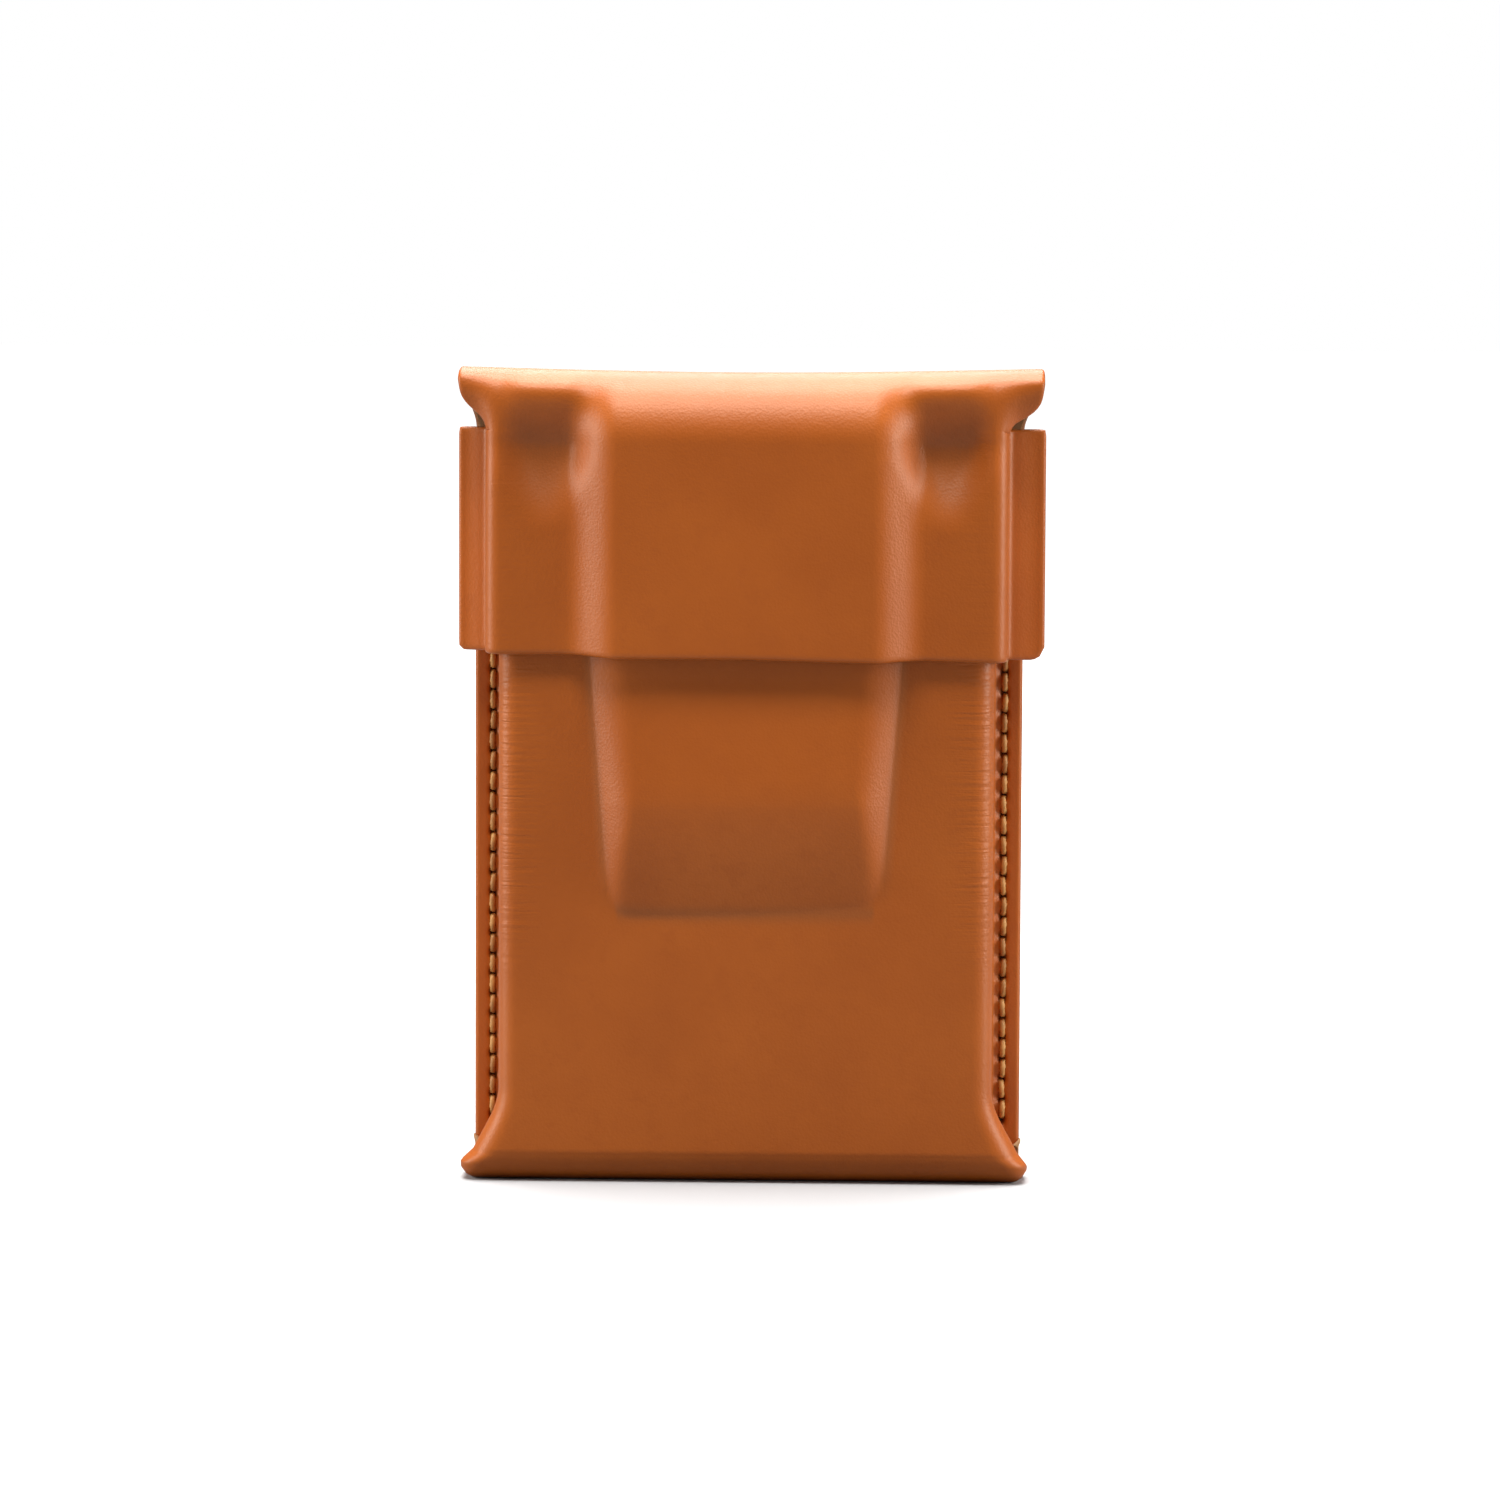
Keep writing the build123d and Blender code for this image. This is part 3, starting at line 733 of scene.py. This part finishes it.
back_rows = []
for place, travel, y, z, out, along in back_stations:
    lobe = float(smooth((BACK_Y - y - BACK_FOLD_RADIUS) / (FOLD_SPLIT - BACK_FOLD_RADIUS))) * (z == 0.0)
    halves = [back_half_row(place, travel, side, lobe) for side in (-1, 1)]
    parts = []
    for side, (x, n, lengths) in zip((-1, 1), halves):
        push = np.zeros_like(x)
        if place != "back":
            pit = side_drop(travel, np.minimum(x, FLAP_FACE), side)
            push = smooth((x - PLATEAU_HALF) / SHOULDER) * pit
        if place == "flap":
            settle = smooth((lengths - FLAP_FACE - FLAP_BEND) / SETTLE_RUN)
            level = float(side_drop(travel, np.array(FLAP_FACE), side))
            side_out = FLAP_FACE + FLAP_RADIUS
            curl = smooth((x - side_out) / (WING_HALF[side] - side_out))
            push = push + n + settle * (level - pit) + WING_CURL * curl
            n = np.zeros_like(x)
        # Painted shade: the hollows under the roll's ends are darkened by how far they lie behind the
        # flap's sides
        hollow_shade = np.zeros_like(x)
        if place != "back":
            hollow_shade = np.clip((push - SIDE_DROP) / (HOLLOW[side] - SIDE_DROP), 0, 1) * (x < FLAP_FACE)
        parts.append((x, n, push, lengths, hollow_shade))
    x = both_halves(-parts[0][0], parts[1][0])
    n = both_halves(parts[0][1], parts[1][1])
    push = both_halves(parts[0][2], parts[1][2])
    lengths = both_halves(-parts[0][3], parts[1][3])
    hollow_shade = both_halves(parts[0][4], parts[1][4])
    heights = z - n * out[1]
    over = float(smooth((z - HINGE_Z + SAG_FROM) / SAG_RUN))
    heights = heights - SAG * over * np.cos(np.clip(x / SAG_HALF, -1, 1) * math.pi / 2)
    if place == "flap" and travel < 0:
        share = smooth(-(travel + EDGE_DROP_FROM) / EDGE_DROP_RUN)
        raised = 1 - smooth((np.abs(x) - PLATEAU_HALF) / SHOULDER)
        rightwards = np.clip(x / ROLL_HALF[1], 0, 1)
        heights = heights - RAISED_DROP * share * raised - RIGHT_LOW * share * rightwards
        for side, radius in WING_CORNERS.items():
            outer = np.clip(side * x - (WING_HALF[side] - radius), 0, radius)
            heights = heights + (radius - np.sqrt(radius**2 - outer**2)) * share
    points = np.stack([x, y - n * out[0] + push, heights], 1)
    marks, dent = {"painted_shade": np.nan_to_num(hollow_shade)}, np.zeros_like(x)
    if place == "back" and out == (1.0, 0.0):
        pull, hole = seam_marks(x, np.full_like(x, z))
        marks["hole"], dent = np.nan_to_num(hole), np.nan_to_num(pull)
    if place == "flap":
        near_edge = np.exp(-((np.abs(lengths) - FLAP_FACE) / WRINKLE_WIDTH) ** 2)
        marks["wrinkle"] = np.nan_to_num(near_edge * FLAP_WRINKLE)
    back_rows.append((points, lengths, along, dent, marks))

half_columns = back_half_row("flap", -5.0, 1)[0].size
bend_column = MIDDLE_COLUMNS + SHOULDER_COLUMNS + SIDE_COLUMNS + BEND_COLUMNS // 2
slits = [
    (last_roll, 0, half_columns - 1 - bend_column),
    (last_roll, half_columns - 1 + bend_column, 2 * half_columns),
]
back_leather = make_strip("back_and_flap_leather", back_rows, joined_row=0, skip=slits)
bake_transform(back_leather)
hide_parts("back_panel", "flap")


# --- Seam threads -------------------------------------------------------------------------------
# Waxed linen thread, three plies twisted, saddle-stitched through both layers of each flange, so
# every hole shows a stitch on the front and on the back.
THREAD_RADIUS = 0.34
THREAD_GOLD = (0.62, 0.31, 0.085, 1.0)
THREAD_SHADE = (0.42, 0.18, 0.045, 1.0)


def make_thread():
    material = bpy.data.materials.new("waxed_thread")
    material.use_nodes = True
    tree = material.node_tree
    shader = tree.nodes["Principled BSDF"]
    place = add_node(tree, "ShaderNodeTexCoord").outputs["Object"]
    fibre = add_node(tree, "ShaderNodeTexNoise", {"Scale": 3500.0, "Detail": 3.0})
    tone = add_node(tree, "ShaderNodeTexNoise", {"Scale": 260.0, "Detail": 2.0})
    for noise in (fibre, tone):
        tree.links.new(place, noise.inputs["Vector"])
    colour = mix_colours(tree, band(tree, tone.outputs["Fac"], 0.4, 0.68), THREAD_GOLD, THREAD_SHADE)
    tree.links.new(colour, shader.inputs["Base Color"])
    shader.inputs["Roughness"].default_value = 0.5
    bump = add_node(tree, "ShaderNodeBump", {"Strength": 0.4, "Distance": 0.00008})
    tree.links.new(fibre.outputs["Fac"], bump.inputs["Height"])
    tree.links.new(bump.outputs["Normal"], shader.inputs["Normal"])
    return material


thread = make_thread()


def seam_tree():
    """Stitches in a row up each face of a seam, as a Geometry Nodes tree, with its inputs."""
    tree = bpy.data.node_groups.new("saddle_stitches", "GeometryNodeTree")
    wanted = (
        ("Stitches", "NodeSocketInt"),
        ("Pitch", "NodeSocketFloat"),
        ("Thread radius", "NodeSocketFloat"),
        ("Seam X", "NodeSocketFloat"),
        ("First hole Z", "NodeSocketFloat"),
        ("Front Y", "NodeSocketFloat"),
        ("Back Y", "NodeSocketFloat"),
        ("Seed", "NodeSocketInt"),
    )
    tree.interface.new_socket("Geometry", in_out="OUTPUT", socket_type="NodeSocketGeometry")
    inputs = {
        name: tree.interface.new_socket(name, in_out="INPUT", socket_type=kind).identifier
        for name, kind in wanted
    }
    given = tree.nodes.new("NodeGroupInput").outputs
    result = tree.nodes.new("NodeGroupOutput").inputs[0]

    def vector(x=0.0, y=0.0, z=0.0):
        node = tree.nodes.new("ShaderNodeCombineXYZ")
        for slot, value in enumerate((x, y, z)):
            if isinstance(value, bpy.types.NodeSocket):
                tree.links.new(value, node.inputs[slot])
            else:
                node.inputs[slot].default_value = value
        return node.outputs[0]

    # One stitch: out of a hole, over the leather and down into the next hole
    arc = add_node(tree, "GeometryNodeCurvePrimitiveBezierSegment", {"Resolution": 14})
    radius, pitch = given["Thread radius"], given["Pitch"]
    over = multiply(tree, radius, -1.15)
    under = multiply(tree, radius, 1.7)
    ends = {
        "Start": vector(0.0, under, multiply(tree, pitch, 0.14)),
        "Start Handle": vector(0.0, over, multiply(tree, pitch, 0.13)),
        "End Handle": vector(0.0, over, multiply(tree, pitch, 0.87)),
        "End": vector(0.0, under, multiply(tree, pitch, 0.86)),
    }
    for socket, value in ends.items():
        tree.links.new(value, arc.inputs[socket])
    factor = tree.nodes.new("GeometryNodeSplineParameter").outputs["Factor"]
    twist = tree.nodes.new("GeometryNodeSetCurveTilt")
    tree.links.new(arc.outputs["Curve"], twist.inputs["Curve"])
    tree.links.new(multiply(tree, factor, 5.0), twist.inputs["Tilt"])
    plies = add_node(tree, "GeometryNodeCurveStar", {"Points": 3})
    tree.links.new(multiply(tree, radius, 1.05), plies.inputs["Outer Radius"])
    tree.links.new(multiply(tree, radius, 0.90), plies.inputs["Inner Radius"])
    body = add_node(tree, "GeometryNodeCurveToMesh", {"Fill Caps": True})
    tree.links.new(twist.outputs["Curve"], body.inputs["Curve"])
    tree.links.new(plies.outputs["Curve"], body.inputs["Profile Curve"])

    joined = tree.nodes.new("GeometryNodeJoinGeometry")
    for face, (depth, half_turn) in enumerate(((given["Front Y"], 0.0), (given["Back Y"], math.pi))):
        line = tree.nodes.new("GeometryNodeMeshLine")
        tree.links.new(given["Stitches"], line.inputs["Count"])
        start = vector(given["Seam X"], depth, given["First hole Z"])
        tree.links.new(start, line.inputs["Start Location"])
        tree.links.new(vector(0.0, 0.0, pitch), line.inputs["Offset"])
        lean = add_node(tree, "FunctionNodeRandomValue", data_type="FLOAT_VECTOR")
        lean.inputs[0].default_value = (-0.03, -0.035, half_turn - 0.05)
        lean.inputs[1].default_value = (0.03, 0.075, half_turn + 0.05)
        tree.links.new(given["Seed"], lean.inputs["Seed"])
        place = tree.nodes.new("GeometryNodeInstanceOnPoints")
        tree.links.new(line.outputs["Mesh"], place.inputs["Points"])
        tree.links.new(body.outputs["Mesh"], place.inputs["Instance"])
        tree.links.new(lean.outputs[0], place.inputs["Rotation"])
        tree.links.new(place.outputs["Instances"], joined.inputs[0])
    real = tree.nodes.new("GeometryNodeRealizeInstances")
    tree.links.new(joined.outputs[0], real.inputs[0])
    finish = add_node(tree, "GeometryNodeSetMaterial", {"Material": thread})
    tree.links.new(real.outputs[0], finish.inputs["Geometry"])
    tree.links.new(finish.outputs[0], result)
    return tree, inputs


stitch_tree, stitch_inputs = seam_tree()
for name, side, seed in (("left_seam", -1, 3), ("right_seam", 1, 8)):
    host = bpy.data.objects.new(name, bpy.data.meshes.new(name))
    bpy.context.collection.objects.link(host)
    nodes = host.modifiers.new("stitches", "NODES")
    nodes.node_group = stitch_tree
    settings = {
        "Stitches": STITCH_COUNT - 1,
        "Pitch": STITCH_PITCH * MM,
        "Thread radius": THREAD_RADIUS * MM,
        "Seam X": side * SEAM_X * MM,
        "First hole Z": SEAM_LOW * MM,
        "Front Y": (BACK_Y - FLANGE_DEPTH) * MM,
        "Back Y": BACK_Y * MM,
        "Seed": seed,
    }
    for key, value in settings.items():
        nodes[stitch_inputs[key]] = value
    ready = host.evaluated_get(bpy.context.evaluated_depsgraph_get())
    stitches = bpy.data.meshes.new_from_object(ready)
    stitches.name = name + "_stitches"
    stitches.shade_smooth()
    bpy.data.objects.remove(host)
    piece = bpy.data.objects.new(name + "_stitches", stitches)
    bpy.context.collection.objects.link(piece)
    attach(piece, "pouch")
    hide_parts(name + "_thread")


# --- Floor and light ----------------------------------------------------------------------------
# A plain white floor that brightens into a white surround and lights the holder less than it
# shows. A narrow soft box over the front, two broad ones above and behind, a tall one each side.
FLOOR_SEEN = 0.60
FLOOR_LIT = 0.24
FLOOR_HALF = 6.0
FLOOR_NEAR, FLOOR_FAR = 0.10, 0.60
FLOOR_GLOW = (0.0, 1.0)
SURROUND_LIT = 0.18
floor_material = bpy.data.materials.new("floor_white")
floor_material.use_nodes = True
floor_tree = floor_material.node_tree
floor_shader = floor_tree.nodes["Principled BSDF"]
floor_shader.inputs["Roughness"].default_value = 0.9
floor_shader.inputs["Specular IOR Level"].default_value = 0.0
floor_shader.inputs["Emission Color"].default_value = (1.0, 1.0, 1.0, 1.0)
floor_seen = add_node(floor_tree, "ShaderNodeLightPath").outputs["Is Camera Ray"]
floor_lit = (FLOOR_LIT, FLOOR_LIT, FLOOR_LIT, 1.0)
floor_white = (FLOOR_SEEN, FLOOR_SEEN, FLOOR_SEEN, 1.0)
floor_colour = mix_colours(floor_tree, floor_seen, floor_lit, floor_white)
floor_tree.links.new(floor_colour, floor_shader.inputs["Base Color"])
floor_place = add_node(floor_tree, "ShaderNodeTexCoord").outputs["Object"]
reach = add_node(floor_tree, "ShaderNodeVectorMath", operation="LENGTH")
floor_tree.links.new(floor_place, reach.inputs[0])
glow = add_node(floor_tree, "ShaderNodeMapRange", interpolation_type="SMOOTHSTEP")
for socket, value in zip(
    ("From Min", "From Max", "To Min", "To Max"), (FLOOR_NEAR, FLOOR_FAR, *FLOOR_GLOW)
):
    glow.inputs[socket].default_value = value
floor_tree.links.new(reach.outputs["Value"], glow.inputs["Value"])
floor_tree.links.new(
    multiply(floor_tree, glow.outputs["Result"], floor_seen), floor_shader.inputs["Emission Strength"]
)
floor_mesh = bpy.data.meshes.new("floor")
floor_mesh.from_pydata(
    [(x * FLOOR_HALF, y * FLOOR_HALF, 0.0) for x, y in ((-1, -1), (1, -1), (1, 1), (-1, 1))],
    [],
    [(0, 1, 2, 3)],
)
floor_mesh.materials.append(floor_material)
floor = bpy.data.objects.new("floor", floor_mesh)
bpy.context.collection.objects.link(floor)
floor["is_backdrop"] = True


def soft_box(name, place, size, radiance):
    """A rectangular area light aimed at the middle of the holder, with the brightness of its face."""
    light = bpy.data.lights.new(name, "AREA")
    light.shape = "RECTANGLE"
    light.size, light.size_y = size
    light.energy = radiance * size[0] * size[1] * math.pi
    lamp = bpy.data.objects.new(name, light)
    lamp.location = place
    aim = (cad_low + cad_high) / 2 - Vector(place)
    lamp.rotation_euler = aim.to_track_quat("-Z", "Y").to_euler()
    bpy.context.collection.objects.link(lamp)


soft_box("key_box", (-0.06, -0.30, 0.79), (0.50, 0.20), 17.3)
soft_box("top_box", (0.0, 0.16, 0.85), (0.60, 0.42), 12.5)
soft_box("rear_box", (0.0, 0.60, 0.60), (0.60, 0.40), 6.0)
soft_box("left_box", (-0.60, -0.06, 0.14), (0.20, 0.55), 9.4)
soft_box("right_box", (0.60, -0.06, 0.14), (0.20, 0.55), 10.2)

# The surround is plain white to look at and lights the holder only gently
world = bpy.data.worlds.new("studio")
bpy.context.scene.world = world
world.use_nodes = True
world_tree = world.node_tree
background = world_tree.nodes["Background"]
background.inputs["Color"].default_value = (1.0, 1.0, 1.0, 1.0)
seen = add_node(world_tree, "ShaderNodeLightPath").outputs["Is Camera Ray"]
strength = add_node(world_tree, "ShaderNodeMapRange", {"To Min": SURROUND_LIT, "To Max": 1.0})
world_tree.links.new(seen, strength.inputs["Value"])
world_tree.links.new(strength.outputs["Result"], background.inputs["Strength"])
bpy.context.scene.view_settings.view_transform = "Standard"

low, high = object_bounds()
